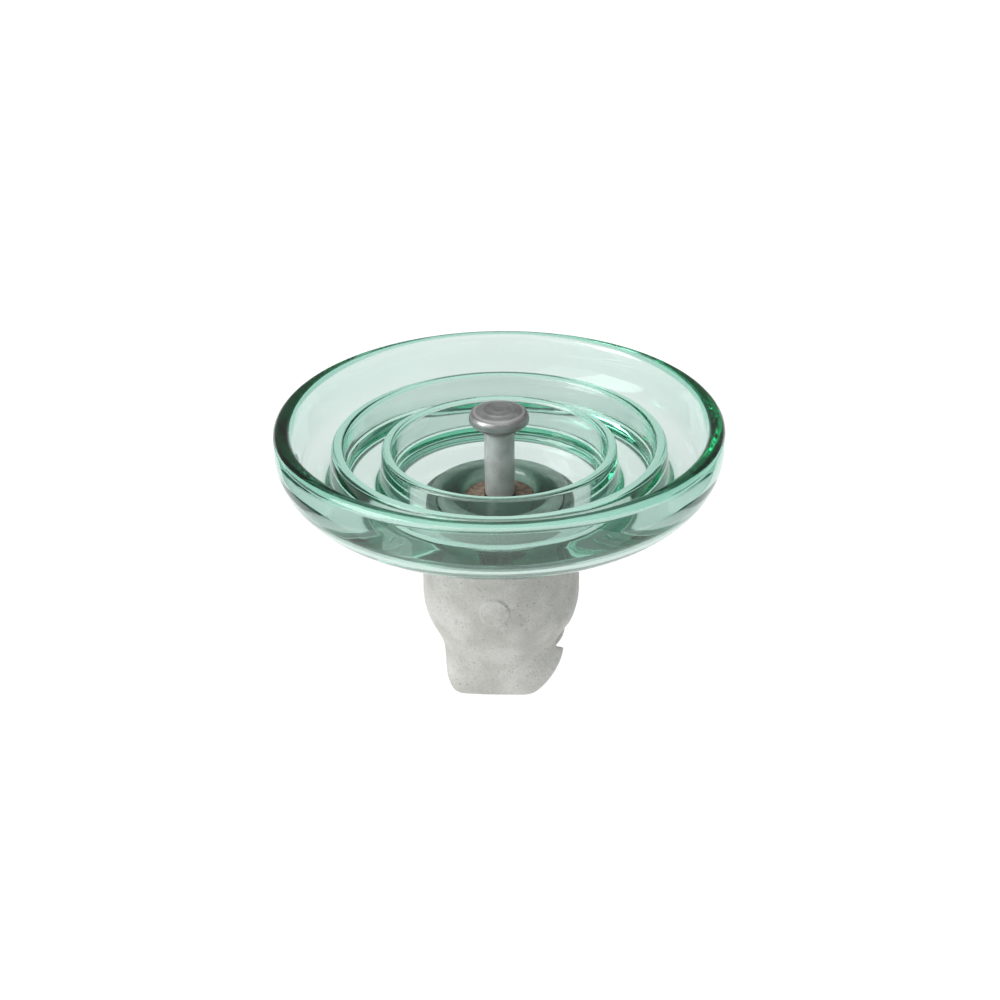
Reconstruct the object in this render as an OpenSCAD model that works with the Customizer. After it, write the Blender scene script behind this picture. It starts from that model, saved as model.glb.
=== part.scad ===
// Cap-and-pin suspension insulator with a toughened glass shell.
// It stands on its cap: +Z runs up the string's axis, the origin is the centre of the
// cap's base, and the socket's mouth faces +X. Millimetres.

/* [Coupling] */
// Distance between the bearing of the socket and the bearing of the ball
spacing = 143; // [142:0.5:146]
// Diameter of the straight land round the ball
ball_d = 33.3; // [32.6:0.1:33.3]
// Height of the ball from its bearing to its crown
ball_h = 13.4; // [13:0.1:13.8]
// Diameter of the shank under the ball
shank_d = 17; // [16:0.1:17]
// Thickness of the socket's lip, up to the bearing
lip_t = 16; // [15:0.5:17]
// Width of the socket's cavity and mouth
socket_w = 35.6; // [35:0.1:36.2]
// Width of the slot that the mating shank passes through
slot_w = 19.8; // [19.2:0.1:20.6]

/* [Glass shell] */
// Diameter over the rim
disc_d = 250; // [247:0.5:255]
// Height of the rim's crest
rim_top = 164.9; // [163.5:0.1:166.5]
// Thickness of the rim at its crest
rim_w = 8.8; // [8.2:0.1:9.6]
// Radius of the middle of the outer rib
outer_rib_r = 90; // [89:0.1:91]
// Height of the outer rib's crest
outer_rib_top = 152.2; // [150:0.1:154]
// Thickness of the outer rib at its crest
outer_rib_w = 6.4; // [6:0.1:7]
// Radius of the middle of the inner rib
inner_rib_r = 62.8; // [62:0.1:64]
// Height of the inner rib's crest
inner_rib_top = 149.4; // [147:0.1:151]
// Thickness of the inner rib at its crest
inner_rib_w = 5.3; // [5:0.1:6]
// Height of the glass floor round the pin
floor_top = 124.4; // [123.5:0.1:125]
// Radius of the pin hole at its mouth
hole_r = 20; // [19:0.1:20.6]
// Radius of the glass head at its crown
head_r = 35; // [34:0.1:35.4]

/* [Metal cap] */
// Radius of the cap's skirt
skirt_r = 44.6; // [44.4:0.1:46]
// Height of the skirt's open end
cap_top = 111.5; // [110:0.5:112]
// Half width of the socket's housing
housing_y = 29.7; // [29.2:0.1:31]
// Distance from the axis to the back of the housing
housing_back = 30.2; // [29.8:0.1:31]
// Distance from the axis to the front of the lip
lip_front = 38.8; // [38.4:0.1:40]

/* [Locking clip] */
// Diameter of the clip's wire
wire_d = 3.4; // [3:0.1:3.6]
// Distance between the middles of the clip's two inner legs
clip_loop_w = 7.8; // [7:0.1:8.4]

/* [Hidden] */
$fn = 128;

// Coupling
ball_r = ball_d / 2;
shank_r = shank_d / 2;
bearing_z = lip_t + spacing;
ball_top = bearing_z + ball_h;
bearing_ball_r = 23;
crown_ball_r = 50;
ball_edge_r = 4;
socket_r = socket_w / 2;
slot_r = slot_w / 2;
seat_r = 23.5;
seat_rise = seat_r - sqrt(seat_r * seat_r - slot_r * slot_r);
seat_centre_z = lip_t - 1.5 - seat_rise + seat_r;
seat_top = seat_centre_z - sqrt(seat_r * seat_r - socket_r * socket_r);
lip_rise = 11;
socket_top = 41;

// Glass shell
disc_r = disc_d / 2;
shoulder_r = 31.9;
shoulder_z = rim_top - 41;
underside_slope = tan(5);
head_neck_r = 33;
crown_z = 56;
hole_bottom = 67;
hole_mouth_r = 4;
neck_z = shoulder_z - (disc_r - head_neck_r) * underside_slope;

// Cap
shoulder_low = [26.2, 12];
shoulder_top = 48.2;
housing_top = 38.2;
housing_draft = 1.6;
housing_corner_r = 13;
back_edge_r = 14;
side_edge_r = 8;
chin_r = 32;
cavity_r = 40.2;
cavity_mouth_r = 39.2;
collar_h = 8.5;
cushion_t = 2;
crown_cushion_r = 22;
foot_cushion_r = 9;
cavity_floor = crown_z - cushion_t;
lining_t = 0.5;

// Pin and its cement
foot_r = 13.2;
foot_z = hole_bottom + cushion_t;
coating_t = 0.5;
cement_top = floor_top - 5.5;
shank_low_r = shank_r - 0.2;

// Clip
wire_r = wire_d / 2;
clip_z = 36.7;
clip_leg_in = clip_loop_w / 2;
clip_leg_out = 10.7;
clip_front = 8;
clip_back = -32;
clip_leg_end = 2;
hook_r = 2.4;
hook_turn = 35;
clip_hole_w = 2 * (clip_leg_in + wire_r) + 1.6;
clip_hole_h = wire_d + 1;

// Points on an arc about c, from angle a to angle b, one about every 9 degrees
function arc(c, r, a, b) =
    let (n = max(2, ceil(abs(b - a) / 9)))
    [for (i = [0:n]) c + r * [cos(a + (b - a) * i / n), sin(a + (b - a) * i / n)]];

function unit(v) = v / norm(v);
function xy(p) = [p[0], p[1]];
function short_turn(a) = a > 180 ? a - 360 : a < -180 ? a + 360 : a;

// The corner at p = [x, y, radius] between its neighbours, as points on its rounding
function corner(before, p, after) =
    p[2] == 0 ? [xy(p)] :
    let (u = unit(xy(before) - xy(p)), w = unit(xy(after) - xy(p)),
         half = acos(u * w) / 2,
         centre = xy(p) + unit(u + w) * p[2] / sin(half),
         start = xy(p) + u * p[2] / tan(half) - centre,
         end = xy(p) + w * p[2] / tan(half) - centre,
         a = atan2(start[1], start[0]),
         turn = short_turn(atan2(end[1], end[0]) - a))
    arc(centre, p[2], a, a + turn);

// An outline whose corners [x, y, radius] are rounded
function rounded(path) =
    let (n = len(path))
    [for (i = [0:n - 1]) each corner(path[(i + n - 1) % n], path[i], path[(i + 1) % n])];

// Half section of the glass: up the pin hole, over both ribs and the rim, and back to the head
function glass_section() = rounded([
    [0, hole_bottom, 0],
    [hole_r - 2, hole_bottom, 7],
    [hole_r, floor_top, hole_mouth_r],
    [inner_rib_r - inner_rib_w / 2 - 2, floor_top, 5],
    [inner_rib_r - inner_rib_w / 2, inner_rib_top, inner_rib_w * 0.46],
    [inner_rib_r + inner_rib_w / 2, inner_rib_top, inner_rib_w * 0.46],
    [inner_rib_r + inner_rib_w / 2 + 2, floor_top + 3.5, 5],
    [outer_rib_r - outer_rib_w / 2 - 2, floor_top + 4.5, 5],
    [outer_rib_r - outer_rib_w / 2, outer_rib_top, outer_rib_w * 0.47],
    [outer_rib_r + outer_rib_w / 2, outer_rib_top, outer_rib_w * 0.47],
    [outer_rib_r + outer_rib_w / 2 + 2, floor_top + 6, 5],
    [disc_r - rim_w - 5.6, floor_top + 8.5, 11],
    [disc_r - rim_w, rim_top, rim_w * 0.48],
    [disc_r, rim_top, rim_w * 0.48],
    [disc_r, shoulder_z, shoulder_r],
    [head_neck_r, neck_z, 6],
    [head_r, crown_z, 9],
    [0, crown_z, 0]]);

// Half section of the pin hole and the space just above its flared mouth
function hole_section() = rounded([
    [0, hole_bottom, 0],
    [hole_r - 2, hole_bottom, 7],
    [hole_r, floor_top, hole_mouth_r],
    [hole_r + 12, floor_top, 0],
    [hole_r + 12, floor_top + 1, 0],
    [0, floor_top + 1, 0]]);

// Half section of the head as a plain solid, without its pin hole
function head_section() = rounded([
    [0, crown_z, 0],
    [head_r, crown_z, 9],
    [head_neck_r, neck_z, 6],
    [disc_r, shoulder_z, 0],
    [disc_r, rim_top, 0],
    [0, rim_top, 0]]);

// Half section of the cap's cavity, drawn in by t all over its wall
function cavity_section(t) = rounded([
    [0, cavity_floor + t, 0],
    [cavity_r - 1 - t, cavity_floor + t, 7],
    [cavity_r - t, cavity_floor + 30, 20],
    [cavity_r - t, cap_top - collar_h - 4, 3],
    [cavity_mouth_r - t, cap_top - collar_h, 3],
    [cavity_mouth_r - t, cap_top, 0],
    [0, cap_top, 0]]);

// Side of the pin's buried foot, grown by t, from the axis up to just past the cement
function foot_side(t) = rounded([
    [0, foot_z, 0],
    [foot_r + t, foot_z, 1.5],
    [foot_r + t, foot_z + 6, 3],
    [shank_low_r + t, foot_z + 24, 12],
    [shank_low_r + t, cement_top + 2 * t, 0]]);

// Side of the shank and its ball: a spherical bearing, a straight land and a low crown
function ball_side() =
    let (bearing_c = bearing_z + sqrt(pow(bearing_ball_r, 2) - pow(shank_r, 2)),
         crown_c = ball_top - crown_ball_r,
         edge_x = ball_r - ball_edge_r,
         edge_dz = sqrt(pow(crown_ball_r - ball_edge_r, 2) - pow(edge_x, 2)),
         edge_a = atan2(edge_dz, edge_x))
    concat(
        [[shank_r, bearing_z - 14]],
        arc([0, bearing_c], bearing_ball_r, -acos(shank_r / bearing_ball_r),
            -acos(ball_r / bearing_ball_r)),
        arc([edge_x, crown_c + edge_dz], ball_edge_r, 0, edge_a),
        arc([0, crown_c], crown_ball_r, edge_a, 90));

// Half section of the cap's skirt and shoulder
function skirt_section() = rounded([
    [0, shoulder_low[1], 0],
    [shoulder_low[0], shoulder_low[1], 0],
    [skirt_r, shoulder_top, 40],
    [skirt_r, cap_top, 1.5],
    [cavity_mouth_r - 3, cap_top, 0],
    [cavity_mouth_r - 3, cavity_floor - 4, 0],
    [0, cavity_floor - 4, 0]]);

module glass_shell() {
    color([0.62, 0.82, 0.76, 0.55]) rotate_extrude() polygon(glass_section());
}

// The socket's housing: one plan and two side views, each rounded, where all three meet
module housing() {
    nose_x = lip_front - housing_y;
    widest_back = housing_back + housing_draft;
    plan = concat(
        rounded([[nose_x, housing_y, 0], [-widest_back, housing_y, housing_corner_r],
                 [-widest_back, -housing_y, housing_corner_r], [nose_x, -housing_y, 0]]),
        arc([nose_x, 0], housing_y, -90, 90));
    side = rounded([[-housing_back, 0, back_edge_r], [lip_front + 0.5, 0, chin_r],
                    [lip_front - 1, housing_top, 0], [-widest_back, housing_top, 0]]);
    front = rounded([[-housing_y, 0, side_edge_r], [housing_y, 0, side_edge_r],
                     [housing_y, housing_top, 0], [-housing_y, housing_top, 0]]);
    intersection() {
        linear_extrude(housing_top) polygon(plan);
        translate([0, 50, 0]) rotate([90, 0, 0]) linear_extrude(100) polygon(side);
        translate([-50, 0, 0]) rotate([90, 0, 90]) linear_extrude(100) polygon(front);
    }
}

// Section of the spherical seat from the slot to the cavity's wall, raised by that much
function seat_arc(rise) =
    arc([0, seat_centre_z + rise], seat_r, -acos(slot_r / seat_r), -acos(socket_r / seat_r));

// The space for the mating ball and shank, open towards +X above a lip shaped like the seat
module socket_space() {
    reach = 60;
    lip = seat_arc(lip_rise);
    last = len(lip) - 1;
    translate([0, 0, seat_top]) cylinder(r = socket_r, h = socket_top - seat_top);
    rotate([90, 0, 90]) linear_extrude(reach) polygon(concat(
        lip,
        [[socket_r, socket_top], [-socket_r, socket_top]],
        [for (i = [0:last]) [-lip[last - i][0], lip[last - i][1]]]));
    translate([0, 0, -1]) cylinder(r = slot_r, h = socket_top);
    translate([0, -slot_r, -1]) cube([reach, slot_w, socket_top]);
    rotate_extrude() polygon(concat(
        [[0, seat_top + 0.5], [0, lip_t - 1.5], [slot_r, lip_t - 1.5]],
        seat_arc(0),
        [[socket_r, seat_top + 0.5]]));
}

module cap() {
    color([0.74, 0.74, 0.71]) difference() {
        union() {
            rotate_extrude() polygon(skirt_section());
            housing();
        }
        rotate_extrude() polygon(cavity_section(0));
        socket_space();
        translate([-60, -clip_hole_w / 2, clip_z - clip_hole_h / 2])
            cube([60, clip_hole_w, clip_hole_h]);
    }
}

module ball_pin() {
    color([0.55, 0.56, 0.56])
        rotate_extrude() polygon(concat(foot_side(0), ball_side()));
}

// Bitumen coat between the pin's foot and its cement
module pin_coating() {
    color([0.16, 0.13, 0.11]) rotate_extrude() difference() {
        polygon(concat(foot_side(coating_t), [[0, cement_top + 2 * coating_t]]));
        polygon(concat(foot_side(0), ball_side()));
    }
}

// Cement that fills the pin hole round the foot
module pin_cement() {
    color([0.5, 0.42, 0.35]) rotate_extrude() difference() {
        intersection() {
            polygon(hole_section());
            square([hole_r + hole_mouth_r, cement_top]);
        }
        polygon(concat(foot_side(coating_t), [[0, cement_top + 2 * coating_t]]));
        square([foot_cushion_r, foot_z]);
    }
}

// Bitumen coat on the cap's cavity
module cap_lining() {
    color([0.13, 0.12, 0.11]) rotate_extrude() difference() {
        polygon(cavity_section(0));
        polygon(cavity_section(lining_t));
    }
}

// Cement between the cap and the glass head, and up to the glass above the cap's edge
module cap_cement() {
    color([0.6, 0.58, 0.54]) rotate_extrude() difference() {
        union() {
            polygon(cavity_section(lining_t));
            translate([0, cap_top - 1]) square([cavity_mouth_r - lining_t, neck_z + 3 - cap_top]);
        }
        polygon(head_section());
        square([crown_cushion_r, crown_z]);
    }
}

// Cork disc that lets the glass head move a little against the cap
module crown_cushion() {
    color([0.66, 0.47, 0.3]) translate([0, 0, cavity_floor + lining_t])
        cylinder(r = crown_cushion_r, h = cushion_t - lining_t);
}

// Cork disc under the pin's foot
module foot_cushion() {
    color([0.66, 0.47, 0.3]) translate([0, 0, hole_bottom])
        cylinder(r = foot_cushion_r, h = cushion_t);
}

// A straight run of the clip's wire along X
module wire_run(x0, x1, y) {
    translate([x0, y, 0]) rotate([0, 90, 0]) cylinder(d = wire_d, h = x1 - x0, $fn = 32);
}

// A bend of the clip's wire about c, from angle a, turning by t
module wire_bend(c, r, a, t) {
    translate([c[0], c[1], 0]) rotate([0, 0, a]) rotate_extrude(angle = t)
        translate([r, 0]) circle(d = wire_d, $fn = 32);
}

// One side of the clip: half the back loop, both legs, the front bend and the hooked end
module clip_half() {
    front_r = (clip_leg_out - clip_leg_in) / 2;
    wire_bend([clip_back, 0], clip_leg_in, 90, 90);
    wire_run(clip_back, clip_front, clip_leg_in);
    wire_bend([clip_front, clip_leg_in + front_r], front_r, -90, 180);
    wire_run(clip_leg_end, clip_front, clip_leg_out);
    wire_bend([clip_leg_end, clip_leg_out + hook_r], hook_r, -90 - hook_turn, hook_turn);
}

module locking_clip() {
    color([0.72, 0.5, 0.33]) translate([0, 0, clip_z]) union() {
        clip_half();
        mirror([0, 1, 0]) clip_half();
    }
}

glass_shell();
cap();
ball_pin();
cap_cement();
pin_cement();
cap_lining();
pin_coating();
crown_cushion();
foot_cushion();
locking_clip();
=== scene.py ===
"""Looks for the cap-and-pin glass insulator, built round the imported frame.

Lengths are in millimetres while a shape is worked out, and in metres in Blender. The glass, the
pin and the cements are turned outlines. The cap is a copy of its CAD mesh, remeshed, softened and
roughened like a sand casting. The other CAD nodes keep their shapes and get their materials here.
"""

import math

import bmesh
import bpy
from mathutils import Matrix, Vector, noise


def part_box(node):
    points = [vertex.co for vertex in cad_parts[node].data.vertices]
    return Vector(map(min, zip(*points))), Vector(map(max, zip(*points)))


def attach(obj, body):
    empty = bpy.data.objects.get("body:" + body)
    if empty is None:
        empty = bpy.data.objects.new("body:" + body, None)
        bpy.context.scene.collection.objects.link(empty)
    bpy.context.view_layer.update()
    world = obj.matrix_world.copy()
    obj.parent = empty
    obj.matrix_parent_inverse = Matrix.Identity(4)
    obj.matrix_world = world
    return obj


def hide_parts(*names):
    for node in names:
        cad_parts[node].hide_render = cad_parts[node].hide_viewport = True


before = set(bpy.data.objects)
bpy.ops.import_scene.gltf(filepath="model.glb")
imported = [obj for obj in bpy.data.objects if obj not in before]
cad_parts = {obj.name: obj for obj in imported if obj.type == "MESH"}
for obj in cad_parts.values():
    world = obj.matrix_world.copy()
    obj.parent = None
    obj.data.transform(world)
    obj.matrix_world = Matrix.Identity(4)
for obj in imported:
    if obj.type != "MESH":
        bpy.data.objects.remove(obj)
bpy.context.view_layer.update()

MM = 0.001


# ---------------------------------------------------------------- sizes, in millimetres
def cad(node):
    """(lowest corner, highest corner) of a CAD node, in millimetres."""
    low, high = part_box(node)
    return [c / MM for c in low], [c / MM for c in high]


glass_low, glass_high = cad("glass_shell")
cap_high = cad("cap")[1]
pin_low, pin_high = cad("ball_pin")

disc_r = min(glass_high[0], glass_high[1])
rim_top = glass_high[2]
crown_z = glass_low[2]
cap_top = cap_high[2]
skirt_r = cap_high[1]
foot_z = pin_low[2]
ball_top = pin_high[2]
ball_r = pin_high[0]

# The bowl. groove_steps is how far its floor has risen at each root of a rib and at the rim's.
rim_w = 8.8
rim_round = 0.48
bowl_taper = 5.6
bowl_r = 31.9
bowl_root_r = 11
floor_top = 124.4
groove_steps = (3.5, 4.5, 6, 8.5)

# The ribs: middle radius, top, width, and the rounding of the crest as a share of the width.
inner_rib = (62.8, 149.4, 5.3, 0.46)
outer_rib = (90.0, 152.2, 6.4, 0.47)
rib_taper = 2
rib_root_r = 5

# The pin hole, and the head that is buried in the cap.
hole_r = 20.0
hole_taper = 2
hole_mouth_r = 4.0
hole_bottom_r = 7
hole_bottom = foot_z - 2
head_r = 35.0
head_neck_r = 33.0
neck_fillet_r = 6
crown_edge_r = 9
shoulder_z = rim_top - 41
neck_z = shoulder_z - (disc_r - head_neck_r) * math.tan(math.radians(5))

# The pin and the cement round it.
shank_r = 8.5
shank_low_r = shank_r - 0.2
foot_r = 13.2
foot_edge_r = 1.5
foot_side = 6
foot_side_r = 3
foot_length = 24
foot_neck_r = 12
bearing_z = ball_top - 13.4
bearing_r = 23
shank_top = bearing_z - 14
ball_crown_r = 50
ball_edge_r = 4
cement_top = floor_top - 5.5
plug_top = cement_top - 0.5
plug_edge = 1.2
plug_edge_r = 1

# The cavity of the cap, which the other cement fills round the glass head.
cavity_r = 39.7
cavity_taper = 1
cavity_mouth_r = 38.7
cavity_floor = crown_z - 1.5
cavity_side = cavity_floor + 30
cavity_side_r = 20
cavity_lip = (cap_top - 12.5, cap_top - 8.5)
cavity_lip_r = 3
cushion_r = 22.0
collar_low = cavity_floor + 0.1
collar_edge_r = 7
collar_slope = 0.087

# How far the cement reaches into the glass, so that no film of air is left between them.
wetting = 0.12

# The blank round pad on the cap's front, where a foundry puts its mark.
pad_x, pad_z, pad_r = -1.0, 67.0, 8.4
pad_edge = 0.5
pad_rise = 1.0

# Mould seams of the glass, in degrees, with the columns of the lathe that draw them.
GLASS_SEAMS = (274.0, 94.0)
SEAM_STEP = 0.11
SEAM_COLUMNS = 5
SEAM_HALF_WIDTH = SEAM_STEP * 3.5
SEAM_RISE = 0.09

# The flash line of the forged pin, and the rings of its die: inner edge, outer edge, height.
PIN_SEAM = math.radians(35)
FLASH_RISE = 0.08
FLASH_SHARPNESS = 14
DIE_RINGS = ((7.6, 10.0, 1), (3.2, 5.4, 0.6))
RING_EDGE = 0.8
RING_RISE = 0.28
CROWN_SINK = 0.32

# Unevenness of the turned surfaces, in layers of (height, size, seed).
FIRE_POLISH = ((0.07, 34, 3.1), (0.03, 11, 7.7))
FORGING_SCALE = ((0.05, 6, 1.3), (0.02, 2, 4.2))
TROWELLED = ((0.5, 6, 9.4), (0.25, 1.8, 2.6))

# Unevenness of the casting, in layers of (height, size), and its parting line: how far from the
# line its sides begin and end, and the heights over which it starts above the base.
SAND_CAST = ((0.12, 14), (0.06, 3.2), (0.07, 1.3))
CAST_SINK = 0.1
PARTING_RISE = 0.25
PARTING_SIDES = (0.5, 1.3)
PARTING_START = (2, 5)
BASE_Z = 0.05

# The casting's mesh. Its outside, beyond the radii BLEND_R, is softened most between BLEND_LOW
# and BLEND_HIGH, by BLEND_BELOW of that further down, and less beyond MOUTH_X, beside the mouth.
VOXEL = 0.8
SOFTEN_PASSES = 6
BLEND_PASSES = 100
BLEND_LOW, BLEND_HIGH, BLEND_FADE = 18, 42, 8
BLEND_R = (23, 27)
BLEND_BELOW = 0.8
MOUTH_X = (14, 22)
MOUTH_LESS = 0.7


# ---------------------------------------------------------------- outlines
def arc(cx, cy, r, a, b, step=5):
    """Points on an arc about (cx, cy) from angle a to angle b, in degrees."""
    n = max(2, math.ceil(abs(b - a) / step))
    angles = [math.radians(a + (b - a) * i / n) for i in range(n + 1)]
    return [(cx + r * math.cos(t), cy + r * math.sin(t)) for t in angles]


def corner(before, point, after):
    """The rounding at point = (x, y, radius), between its two neighbours."""
    here = Vector(point[:2])
    if point[2] == 0:
        return [tuple(here)]
    u = (Vector(before[:2]) - here).normalized()
    w = (Vector(after[:2]) - here).normalized()
    half = u.angle(w) / 2
    centre = here + (u + w).normalized() * point[2] / math.sin(half)
    start = here + u * point[2] / math.tan(half) - centre
    end = here + w * point[2] / math.tan(half) - centre
    a = math.degrees(math.atan2(start.y, start.x))
    turn = math.degrees(math.atan2(end.y, end.x)) - a
    turn = (turn + 540) % 360 - 180
    return arc(centre.x, centre.y, point[2], a, a + turn)


def rounded(path):
    """An outline whose corners (x, y, radius) are rounded."""
    n = len(path)
    points = []
    for i, point in enumerate(path):
        points += corner(path[i - 1], point, path[(i + 1) % n])
    return points


def spaced(points, longest):
    """The same outline with no straight run longer than that."""
    out = []
    for p, q in zip(points, points[1:]):
        n = max(1, math.ceil(math.dist(p, q) / longest))
        out += [(p[0] + (q[0] - p[0]) * i / n, p[1] + (q[1] - p[1]) * i / n) for i in range(n)]
    return out + [points[-1]]


# ---------------------------------------------------------------- meshes
def new_object(name, data):
    obj = bpy.data.objects.new(name, data)
    bpy.context.scene.collection.objects.link(obj)
    return obj


def smooth(obj):
    for face in obj.data.polygons:
        face.use_smooth = True


def turn_angles(count, seams=()):
    """Angles of a lathe's columns in radians, closer together beside each seam angle (degrees)."""
    angles = {round(360 * k / count, 3) for k in range(count)}
    beside = range(-SEAM_COLUMNS, SEAM_COLUMNS + 1)
    for seam in seams:
        angles |= {round((seam + SEAM_STEP * k) % 360, 3) for k in beside}
    return [math.radians(a) for a in sorted(angles)]


def lathe(name, outline, angles, closed=False, shift=None):
    """Turns an outline of (radius, height) about Z. shift(radius, height, angle) moves a point."""
    bm = bmesh.new()
    rings = []
    for r, z in outline:
        if r < 1e-4:
            rings.append([bm.verts.new((0, 0, z * MM))])
            continue
        ring = []
        for t in angles:
            dr, dz = shift(r, z, t) if shift else (0, 0)
            ring.append(bm.verts.new(((r + dr) * math.cos(t) * MM, (r + dr) * math.sin(t) * MM,
                                      (z + dz) * MM)))
        rings.append(ring)
    pairs = list(zip(rings, rings[1:]))
    if closed:
        pairs.append((rings[-1], rings[0]))
    for one, two in pairs:
        for k in range(len(angles)):
            m = (k + 1) % len(angles)
            face = []
            for v in (one[k % len(one)], one[m % len(one)], two[m % len(two)], two[k % len(two)]):
                if v not in face:
                    face.append(v)
            if len(face) > 2:
                bm.faces.new(face)
    bmesh.ops.recalc_face_normals(bm, faces=bm.faces)
    mesh = bpy.data.meshes.new(name)
    bm.to_mesh(mesh)
    bm.free()
    obj = new_object(name, mesh)
    smooth(obj)
    return obj


def uneven(r, z, t, layers):
    """Smooth noise at a point of a turned surface, in layers of (height, size, seed)."""
    place = Vector((r * math.cos(t), r * math.sin(t), z))
    return sum(height * noise.noise(place / size + Vector((seed, seed, seed)))
               for height, size, seed in layers)


def ramp(x, low, high):
    """0 below low, 1 above high, and a smooth step between them."""
    x = min(1, max(0, (x - low) / (high - low)))
    return x * x * (3 - 2 * x)


# ---------------------------------------------------------------- the glass
def rib(middle, top, width, share, inner_foot, outer_foot):
    """A rib's section from its inner root to its outer one, with the height of each foot."""
    inner, outer = middle - width / 2, middle + width / 2
    return [(inner - rib_taper, inner_foot, rib_root_r),
            (inner, top, width * share),
            (outer, top, width * share),
            (outer + rib_taper, outer_foot, rib_root_r)]


def glass_outline():
    inner_rise, outer_start, outer_rise, rim_root = (floor_top + step for step in groove_steps)
    return spaced(rounded([
        (0, hole_bottom, 0),
        (hole_r - hole_taper, hole_bottom, hole_bottom_r),
        (hole_r, floor_top, hole_mouth_r),
        *rib(*inner_rib, floor_top, inner_rise),
        *rib(*outer_rib, outer_start, outer_rise),
        (disc_r - rim_w - bowl_taper, rim_root, bowl_root_r),
        (disc_r - rim_w, rim_top, rim_w * rim_round),
        (disc_r, rim_top, rim_w * rim_round),
        (disc_r, shoulder_z, bowl_r),
        (head_neck_r, neck_z, neck_fillet_r),
        (head_r, crown_z, crown_edge_r),
        (0, crown_z, 0)]), 6)


def glass_shift(r, z, t):
    """Waves left by the mould and by fire polishing, and a fine seam up the outside of the bowl.

    The head and the pin hole stay true, and so does the height of the rim's crest.
    """
    if r < head_r + 4:
        return 0, 0
    wave = uneven(r, z, t, FIRE_POLISH)
    seam = 0
    if r > disc_r - rim_w * 0.6 or z < floor_top - 2:
        for angle in GLASS_SEAMS:
            off = abs((math.degrees(t) - angle + 180) % 360 - 180)
            seam = max(seam, 1 - ramp(off, 0, SEAM_HALF_WIDTH))
    return -abs(wave) - SEAM_RISE * (1 - seam), wave * 0.6 * ramp(rim_top - z, 1, 5)


# ---------------------------------------------------------------- the pin
def pin_outline():
    """The buried foot, the shank, the ball's bearing face, its round edge and its low crown."""
    foot = rounded([
        (0, foot_z, 0),
        (foot_r, foot_z, foot_edge_r),
        (foot_r, foot_z + foot_side, foot_side_r),
        (shank_low_r, foot_z + foot_length, foot_neck_r),
        (shank_low_r, cement_top, 0)])
    bearing = arc(0, bearing_z + math.sqrt(bearing_r ** 2 - shank_r ** 2), bearing_r,
                  -math.degrees(math.acos(shank_r / bearing_r)),
                  -math.degrees(math.acos(ball_r / bearing_r)), 1.5)
    crown_c = ball_top - ball_crown_r
    edge_x = ball_r - ball_edge_r
    edge_dz = math.sqrt((ball_crown_r - ball_edge_r) ** 2 - edge_x ** 2)
    edge_a = math.degrees(math.atan2(edge_dz, edge_x))
    edge = arc(edge_x, crown_c + edge_dz, ball_edge_r, 0, edge_a, 8)
    crown = arc(0, crown_c, ball_crown_r, edge_a, 90, 0.6)
    return spaced(foot + [(shank_r, shank_top)] + bearing + edge + crown, 2)


def pin_shift(r, z, t):
    """Forging scale, the die's rings on the crown, and a faint flash line down two sides."""
    if z < cement_top - 5:
        return 0, 0
    rough = uneven(r, z, t, FORGING_SCALE)
    on_crown = ramp(z, ball_top - 3.2, ball_top - 2.2)
    ring = sum(height * (ramp(r, inner, inner + RING_EDGE) - ramp(r, outer - RING_EDGE, outer))
               for inner, outer, height in DIE_RINGS)
    flash = max(0, 1 - abs(math.sin(t - PIN_SEAM)) * FLASH_SHARPNESS) * (1 - on_crown)
    return ((rough + FLASH_RISE * flash - 0.03) * min(1, r / 4),
            on_crown * (-CROWN_SINK + RING_RISE * ring + rough))


# ---------------------------------------------------------------- the cements
def plug_outline():
    """The cement in the pin hole, a hair larger than the hole so that it wets the glass."""
    return spaced(rounded([
        (0, hole_bottom - wetting, 0),
        (hole_r - hole_taper + wetting, hole_bottom - wetting, hole_bottom_r),
        (hole_r + wetting, cement_top - plug_edge, plug_edge_r),
        (hole_r - plug_edge, plug_top, plug_edge_r),
        (0, plug_top, 0)]), 1.6)


def plug_shift(r, z, t):
    """The trowelled top of the plug, uneven and pitted."""
    if z < cement_top - 2 or r < shank_low_r:
        return 0, 0
    return 0, (1 - ramp(r, hole_r - 2.0, hole_r - 0.4)) * uneven(r, z, t, TROWELLED)


def collar_outline():
    """The cement between the cap and the glass head, closed round its own section."""
    neck_top = neck_z + (cavity_mouth_r - head_neck_r) * collar_slope + wetting
    return spaced(rounded([
        (cushion_r, collar_low, 0),
        (cavity_r - cavity_taper, collar_low, collar_edge_r),
        (cavity_r, cavity_side, cavity_side_r),
        (cavity_r, cavity_lip[0], cavity_lip_r),
        (cavity_mouth_r, cavity_lip[1], cavity_lip_r),
        (cavity_mouth_r, neck_top, 0),
        (head_neck_r - wetting, neck_z + wetting, neck_fillet_r),
        (head_r - wetting, crown_z + wetting, crown_edge_r),
        (cushion_r, crown_z + wetting, 0)]), 3)


# ---------------------------------------------------------------- the casting
def apply_modifiers(obj):
    depsgraph = bpy.context.evaluated_depsgraph_get()
    mesh = bpy.data.meshes.new_from_object(obj.evaluated_get(depsgraph))
    obj.modifiers.clear()
    obj.data = mesh


def soften(obj, passes, group=""):
    """Rounds off a mesh, only by each point's weight where a vertex group is named."""
    modifier = obj.modifiers.new("soften", "SMOOTH")
    modifier.factor = 0.5
    modifier.iterations = passes
    modifier.vertex_group = group
    apply_modifiers(obj)


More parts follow.
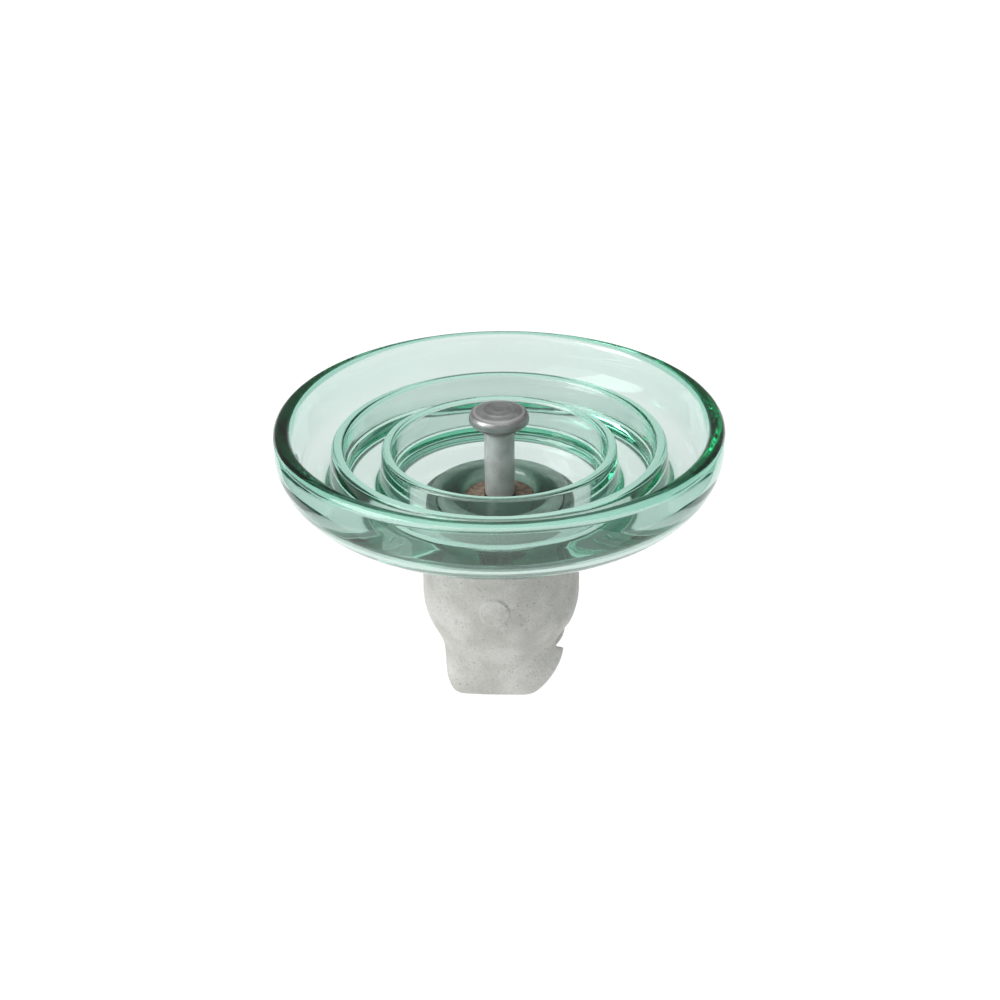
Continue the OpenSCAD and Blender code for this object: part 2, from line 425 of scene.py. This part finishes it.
def blend_weight(x, y, z):
    """How much of the extra softening a point of the casting takes, from 0 to 1.

    It fills the inner corner between the housing and the shoulder as the foundry's fillet does.
    """
    along = BLEND_BELOW + (1 - BLEND_BELOW) * ramp(z, BLEND_LOW - BLEND_FADE, BLEND_LOW)
    along *= 1 - ramp(z, BLEND_HIGH, BLEND_HIGH + BLEND_FADE)
    outside = ramp(math.hypot(x, y), *BLEND_R)
    return along * outside * (1 - MOUTH_LESS * ramp(x, *MOUTH_X))


def softened_casting():
    """A copy of the cap's CAD mesh, remeshed to even quads and softened along its edges."""
    obj = new_object("cast_cap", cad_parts["cap"].data.copy())
    remesh = obj.modifiers.new("remesh", "REMESH")
    remesh.mode = "VOXEL"
    remesh.voxel_size = VOXEL * MM
    soften(obj, SOFTEN_PASSES)
    group = obj.vertex_groups.new(name="blend")
    for vert in obj.data.vertices:
        weight = blend_weight(*(c / MM for c in vert.co))
        if weight > 0:
            group.add([vert.index], weight, "REPLACE")
    soften(obj, BLEND_PASSES, "blend")
    obj.vertex_groups.clear()
    smooth(obj)
    return obj


def cast_rise(x, y, z, outward):
    """How far a point of the casting stands out: sand texture, parting line and round pad."""
    place = Vector((x, y, z))
    rise = sum(height * noise.noise(place / size) for height, size in SAND_CAST) - CAST_SINK
    if outward:
        outside = ramp(math.hypot(x, y), 0.55 * skirt_r, 0.6 * skirt_r)
        line = (1 - ramp(abs(y), *PARTING_SIDES)) * outside * ramp(z, *PARTING_START)
        rise += PARTING_RISE * line
        if y < 0:
            away = math.hypot(x - pad_x, z - pad_z)
            rise += pad_rise * (1 - ramp(away, pad_r - pad_edge, pad_r + pad_edge))
    return rise


def roughen_casting(obj):
    """Moves each point along its normal by cast_rise, and keeps the base above the floor."""
    mesh = obj.data
    normals = [Vector(v.normal) for v in mesh.vertices]
    for vert, normal in zip(mesh.vertices, normals):
        x, y, z = (c / MM for c in vert.co)
        outward = normal.x * x + normal.y * y > 0
        vert.co += normal * cast_rise(x, y, z, outward) * MM
        vert.co.z = max(vert.co.z, BASE_Z * MM)
    mesh.update()


# ---------------------------------------------------------------- material nodes
def material(name):
    mat = bpy.data.materials.new(name)
    mat.use_nodes = True
    nodes = mat.node_tree.nodes
    return mat, nodes, mat.node_tree.links, nodes["Principled BSDF"]


def noise_node(nodes, links, coords, scale, detail, rough):
    node = nodes.new("ShaderNodeTexNoise")
    node.inputs["Scale"].default_value = scale
    node.inputs["Detail"].default_value = detail
    node.inputs["Roughness"].default_value = rough
    links.new(coords.outputs["Object"], node.inputs["Vector"])
    return node.outputs[0]


def pit_node(nodes, links, coords, scale, size):
    """1 inside small round pits, 0 between them."""
    cells = nodes.new("ShaderNodeTexVoronoi")
    cells.inputs["Scale"].default_value = scale
    links.new(coords.outputs["Object"], cells.inputs["Vector"])
    return remap(nodes, links, cells.outputs["Distance"], (size, size * 0.4), (0, 1))


def remap(nodes, links, value, source, target):
    node = nodes.new("ShaderNodeMapRange")
    for name, number in zip(("From Min", "From Max", "To Min", "To Max"), (*source, *target)):
        node.inputs[name].default_value = number
    links.new(value, node.inputs["Value"])
    return node.outputs["Result"]


def mix(nodes, links, factor, a, b):
    """A colour between a and b, each a colour or another node's colour."""
    node = nodes.new("ShaderNodeMix")
    node.data_type = "RGBA"
    links.new(factor, node.inputs["Factor"])
    for colour, socket in ((a, node.inputs["A"]), (b, node.inputs["B"])):
        if isinstance(colour, tuple):
            socket.default_value = (*colour, 1)
        else:
            links.new(colour, socket)
    return node.outputs["Result"]


def chain_bump(nodes, links, bsdf, layers):
    """Stacks bump layers, each (height, strength, distance in metres)."""
    normal = None
    for height, strength, distance in layers:
        bump = nodes.new("ShaderNodeBump")
        bump.inputs["Strength"].default_value = strength
        bump.inputs["Distance"].default_value = distance
        links.new(height, bump.inputs["Height"])
        if normal:
            links.new(normal, bump.inputs["Normal"])
        normal = bump.outputs[0]
    links.new(normal, bsdf.inputs["Normal"])


# ---------------------------------------------------------------- materials
# The glass: the tint that each crossing of a face gives, and the one that depth gives.
GLASS_FACE = (0.8, 0.815, 0.81, 1)
GLASS_TINT = (0.15, 0.75, 0.565, 1)
GLASS_DENSITY = 21
GLASS_IOR = 1.52
RIPPLE_SCALE, RIPPLE_STRENGTH, RIPPLE_DEPTH = 90, 0.12, 0.00004


def toughened_glass():
    """Soda-lime glass, tinted by its thickness, with faint ripples from the mould."""
    mat, nodes, links, bsdf = material("toughened_glass")
    bsdf.inputs["Base Color"].default_value = GLASS_FACE
    bsdf.inputs["Roughness"].default_value = 0.0
    bsdf.inputs["IOR"].default_value = GLASS_IOR
    bsdf.inputs["Transmission Weight"].default_value = 1.0
    volume = nodes.new("ShaderNodeVolumeAbsorption")
    volume.inputs["Color"].default_value = GLASS_TINT
    volume.inputs["Density"].default_value = GLASS_DENSITY
    links.new(volume.outputs[0], nodes["Material Output"].inputs["Volume"])
    coords = nodes.new("ShaderNodeTexCoord")
    ripple = noise_node(nodes, links, coords, RIPPLE_SCALE, 2, 0.55)
    chain_bump(nodes, links, bsdf, [(ripple, RIPPLE_STRENGTH, RIPPLE_DEPTH)])
    return mat


# Noise values over which a surface's patches, grain and gloss change, and the pointiness of
# its worn edges.
PATCH_RANGE = (0.38, 0.62)
GRAIN_RANGE = (0.5, 0.75)
GLOSS_RANGE = (0.35, 0.65)
WORN_RANGE = (0.515, 0.57)
SPECKLE_SHADE = 0.75


def surface(name, dark, light, patch, grain, rough, metallic=0.0, wear=None, pits=None,
            bump=(0.5, 0.0002), fleck=0.6):
    """A finished surface: two colours in patches, fine dark grain, worn edges and pits.

    patch and grain are noise scales per metre, rough is the roughness range, wear the colour of
    exposed edges, pits (scale, size, colour), bump the grain's (strength, depth in metres), and
    fleck how strongly the grain darkens.
    """
    mat, nodes, links, bsdf = material(name)
    coords = nodes.new("ShaderNodeTexCoord")
    patches = noise_node(nodes, links, coords, patch, 5, 0.55)
    grains = noise_node(nodes, links, coords, grain, 8, 0.65)
    strength, depth = bump
    layers = [(patches, strength * 0.5, depth * 4), (grains, strength, depth)]
    colour = mix(nodes, links, remap(nodes, links, patches, PATCH_RANGE, (0, 1)), dark, light)
    speckle = tuple(c * SPECKLE_SHADE for c in dark)
    colour = mix(nodes, links, remap(nodes, links, grains, GRAIN_RANGE, (0, fleck)), colour, speckle)
    if wear:
        edges = nodes.new("ShaderNodeNewGeometry")
        worn = remap(nodes, links, edges.outputs["Pointiness"], WORN_RANGE, (0, 0.8))
        colour = mix(nodes, links, worn, colour, wear)
    if pits:
        scale, size, pit_colour = pits
        holes = pit_node(nodes, links, coords, scale, size)
        colour = mix(nodes, links, holes, colour, pit_colour)
        layers.append((remap(nodes, links, holes, (0, 1), (1, 0)), 0.6, depth * 2))
    links.new(colour, bsdf.inputs["Base Color"])
    links.new(remap(nodes, links, grains, GLOSS_RANGE, rough), bsdf.inputs["Roughness"])
    bsdf.inputs["Metallic"].default_value = metallic
    chain_bump(nodes, links, bsdf, layers)
    return mat


FINISHES = {
    "pin_zinc": dict(
        dark=(0.46, 0.47, 0.465), light=(0.58, 0.59, 0.585), patch=120, grain=900,
        rough=(0.32, 0.48), metallic=0.35, wear=(0.66, 0.66, 0.66), bump=(0.25, 0.00005),
        fleck=0.35),
    # The ball's zinc is the shank's own zinc painted darker: painted shade for its dimly lit crown
    # and edge.
    "shaded_ball_zinc": dict(
        dark=(0.27, 0.275, 0.275), light=(0.38, 0.385, 0.385), patch=120, grain=900,
        rough=(0.3, 0.45), metallic=0.7, wear=(0.58, 0.58, 0.58), bump=(0.25, 0.00005),
        fleck=0.35),
    "cast_zinc": dict(
        dark=(0.47, 0.47, 0.44), light=(0.6, 0.6, 0.57), patch=45, grain=900,
        rough=(0.48, 0.7), metallic=0.4, wear=(0.74, 0.74, 0.71),
        pits=(300, 0.17, (0.4, 0.4, 0.375)), bump=(0.85, 0.0004), fleck=0.7),
    "portland_cement": dict(
        dark=(0.17, 0.12, 0.085), light=(0.36, 0.28, 0.21), patch=260, grain=2200,
        rough=(0.8, 0.95), pits=(700, 0.3, (0.06, 0.045, 0.035)), bump=(0.8, 0.0003)),
    # Near-white cement, far lighter than the brown top of the same plug: painted light on the faces
    # seen through the glass.
    "painted_light_cement": dict(
        dark=(0.82, 0.81, 0.78), light=(0.92, 0.91, 0.88), patch=180, grain=2000,
        rough=(0.8, 0.95), bump=(0.3, 0.0001)),
    "bitumen_paint": dict(
        dark=(0.012, 0.011, 0.01), light=(0.03, 0.027, 0.024), patch=300, grain=2600,
        rough=(0.35, 0.6), bump=(0.5, 0.0002)),
    "pressed_cork": dict(
        dark=(0.2, 0.1, 0.045), light=(0.42, 0.25, 0.12), patch=500, grain=2600,
        rough=(0.75, 0.9), pits=(800, 0.35, (0.08, 0.04, 0.02)), bump=(0.8, 0.0004)),
    "bronze_wire": dict(
        dark=(0.3, 0.17, 0.085), light=(0.48, 0.3, 0.16), patch=260, grain=3000,
        rough=(0.25, 0.45), metallic=0.9, wear=(0.62, 0.42, 0.25), bump=(0.3, 0.00005)),
}
finish = {name: surface(name, **look) for name, look in FINISHES.items()}

# The CAD nodes that stay, each with its finish.
KEPT_NODES = {
    "cap_lining": "bitumen_paint",
    "pin_coating": "bitumen_paint",
    "crown_cushion": "pressed_cork",
    "foot_cushion": "pressed_cork",
    "locking_clip": "bronze_wire",
}


# ---------------------------------------------------------------- pieces
def paint(obj, mat):
    obj.data.materials.clear()
    obj.data.materials.append(mat)


def paint_top(obj, mat, height):
    """Gives the faces above that height, in millimetres, a material of their own."""
    obj.data.materials.append(mat)
    for face in obj.data.polygons:
        face.material_index = int(face.center.z > height * MM)


def add(obj, mat, node):
    """A finished piece that stands for a CAD node of the insulator's own body."""
    paint(obj, mat)
    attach(obj, "insulator")
    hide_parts(node)


def glass_disc():
    disc = lathe("glass_disc", glass_outline(), turn_angles(432, GLASS_SEAMS), shift=glass_shift)
    add(disc, toughened_glass(), "glass_shell")


def forged_pin(angles):
    pin = lathe("forged_pin", pin_outline(), angles, shift=pin_shift)
    add(pin, finish["pin_zinc"], "ball_pin")
    # The ball's faces get the darker copy of the zinc: painted shade, not a different metal.
    paint_top(pin, finish["shaded_ball_zinc"], bearing_z - 0.2)


def cements(angles):
    """The plug round the pin, brown where its top shows, and the collar round the glass head. Where
    they meet the glass they get a near-white cement: painted light for the light that reaches them
    through the glass.
    """
    plug = lathe("pin_cement_plug", plug_outline(), angles, shift=plug_shift)
    add(plug, finish["painted_light_cement"], "pin_cement")
    paint_top(plug, finish["portland_cement"], cement_top - 1.6)
    collar = lathe("head_cement_ring", collar_outline(), angles, closed=True)
    add(collar, finish["painted_light_cement"], "cap_cement")


def cast_cap():
    cap = softened_casting()
    roughen_casting(cap)
    add(cap, finish["cast_zinc"], "cap")


def kept_nodes():
    for node, name in KEPT_NODES.items():
        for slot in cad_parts[node].material_slots:
            slot.material = finish[name]


# ---------------------------------------------------------------- stage, in metres
FLOOR_R = 15
FLOOR_COLOUR = (0.14, 0.14, 0.14, 1)
FLOOR_GLOW = 0.98

# The dark cards at both sides: distance from the axis, half length, height and colour.
FLAG_X, FLAG_Y, FLAG_TOP = 0.3, 0.3, 0.065
FLAG_COLOUR = (0.03, 0.11, 0.08, 1)

# Soft boxes, aimed at LIGHT_TARGET: place, (width, height), watts.
LIGHT_TARGET = Vector((0, 0, 0.1))
SOFT_BOXES = {
    "key": ((-1.3, -1.0, 1.1), (1.8, 2.0), 18),
    "strip": ((-1.2, -0.45, 0.95), (0.8, 1.2), 16),
    "fill": ((1.2, -0.9, 0.9), (0.8, 1.0), 1),
}

# The studio's brightness by height, from the horizon (0) to straight overhead (1).
STUDIO = ((0.0, 0.4), (0.25, 0.25), (0.7, 0.25), (0.95, 1.0))


def aimed(eye, target):
    """The place and turn of a camera or a light at eye that looks at target."""
    turn = (target - eye).to_track_quat("-Z", "Y").to_matrix().to_4x4()
    return Matrix.Translation(eye) @ turn


def camera():
    """A little above the rim, and a touch round towards the socket's mouth."""
    azimuth, elevation, roll = (math.radians(a) for a in (4.0, 27.93, -0.7))
    # Metres from the eye to the target and across the frame there, and the sensor's millimetres.
    distance, view_width, sensor_width = 1.3, 0.56275, 36
    target = Vector((0, 0, 0.1147))
    eye = target + distance * Vector((math.sin(azimuth) * math.cos(elevation),
                                      -math.cos(azimuth) * math.cos(elevation),
                                      math.sin(elevation)))
    data = bpy.data.cameras.new("camera")
    data.sensor_width = sensor_width
    data.lens = sensor_width * distance / view_width
    cam = new_object("camera", data)
    cam.matrix_world = aimed(eye, target) @ Matrix.Rotation(roll, 4, "Z")
    bpy.context.scene.camera = cam


def floor():
    """A pale paper floor, lit a little from within like a light table."""
    bm = bmesh.new()
    bmesh.ops.create_circle(bm, cap_ends=True, segments=96, radius=FLOOR_R)
    mesh = bpy.data.meshes.new("floor")
    bm.to_mesh(mesh)
    bm.free()
    obj = new_object("floor", mesh)
    mat, nodes, links, bsdf = material("floor_paper")
    bsdf.inputs["Base Color"].default_value = FLOOR_COLOUR
    bsdf.inputs["Roughness"].default_value = 0.9
    bsdf.inputs["Emission Color"].default_value = (1, 1, 1, 1)
    bsdf.inputs["Emission Strength"].default_value = FLOOR_GLOW
    paint(obj, mat)


def flag(name, x):
    """A low, dark green card that the camera itself doesn't see. It darkens the bowl's edges."""
    mesh = bpy.data.meshes.new(name)
    mesh.from_pydata([(x, -FLAG_Y, 0), (x, FLAG_Y, 0), (x, FLAG_Y, FLAG_TOP),
                      (x, -FLAG_Y, FLAG_TOP)], [], [(0, 1, 2, 3)])
    obj = new_object(name, mesh)
    mat, nodes, links, bsdf = material(name)
    bsdf.inputs["Base Color"].default_value = FLAG_COLOUR
    paint(obj, mat)
    obj.visible_camera = False


def soft_box(name, place, size, power):
    data = bpy.data.lights.new(name, "AREA")
    data.shape = "RECTANGLE"
    data.size, data.size_y = size
    data.energy = power
    new_object(name, data).matrix_world = aimed(Vector(place), LIGHT_TARGET)


def studio():
    """Pale surroundings: dim at middle heights, and brightest overhead."""
    scene = bpy.context.scene
    scene.world = bpy.data.worlds.new("studio")
    scene.world.use_nodes = True
    nodes, links = scene.world.node_tree.nodes, scene.world.node_tree.links
    coords = nodes.new("ShaderNodeTexCoord")
    split = nodes.new("ShaderNodeSeparateXYZ")
    links.new(coords.outputs["Generated"], split.inputs[0])
    fade = nodes.new("ShaderNodeValToRGB")
    stops = fade.color_ramp.elements
    stops.remove(stops[-1])
    for height, brightness in STUDIO:
        stop = stops.new(height) if height > 0 else stops[0]
        stop.color = (brightness, brightness, brightness, 1)
    links.new(split.outputs["Z"], fade.inputs[0])
    links.new(fade.outputs[0], nodes["Background"].inputs["Color"])
    nodes["Background"].inputs["Strength"].default_value = 1.0
    scene.view_settings.view_transform = "Standard"


def light_paths():
    """Enough bounces for light to cross the rim, both ribs and the head."""
    cycles = bpy.context.scene.cycles
    cycles.max_bounces = 24
    cycles.transmission_bounces = 24
    cycles.transparent_max_bounces = 24
    cycles.glossy_bounces = 12


# ---------------------------------------------------------------- the scene
coarse = turn_angles(160)
glass_disc()
forged_pin(coarse)
cements(coarse)
cast_cap()
kept_nodes()

camera()
floor()
studio()
light_paths()
for name, box in SOFT_BOXES.items():
    soft_box(name, *box)
flag("flag_left", -FLAG_X)
flag("flag_right", FLAG_X)
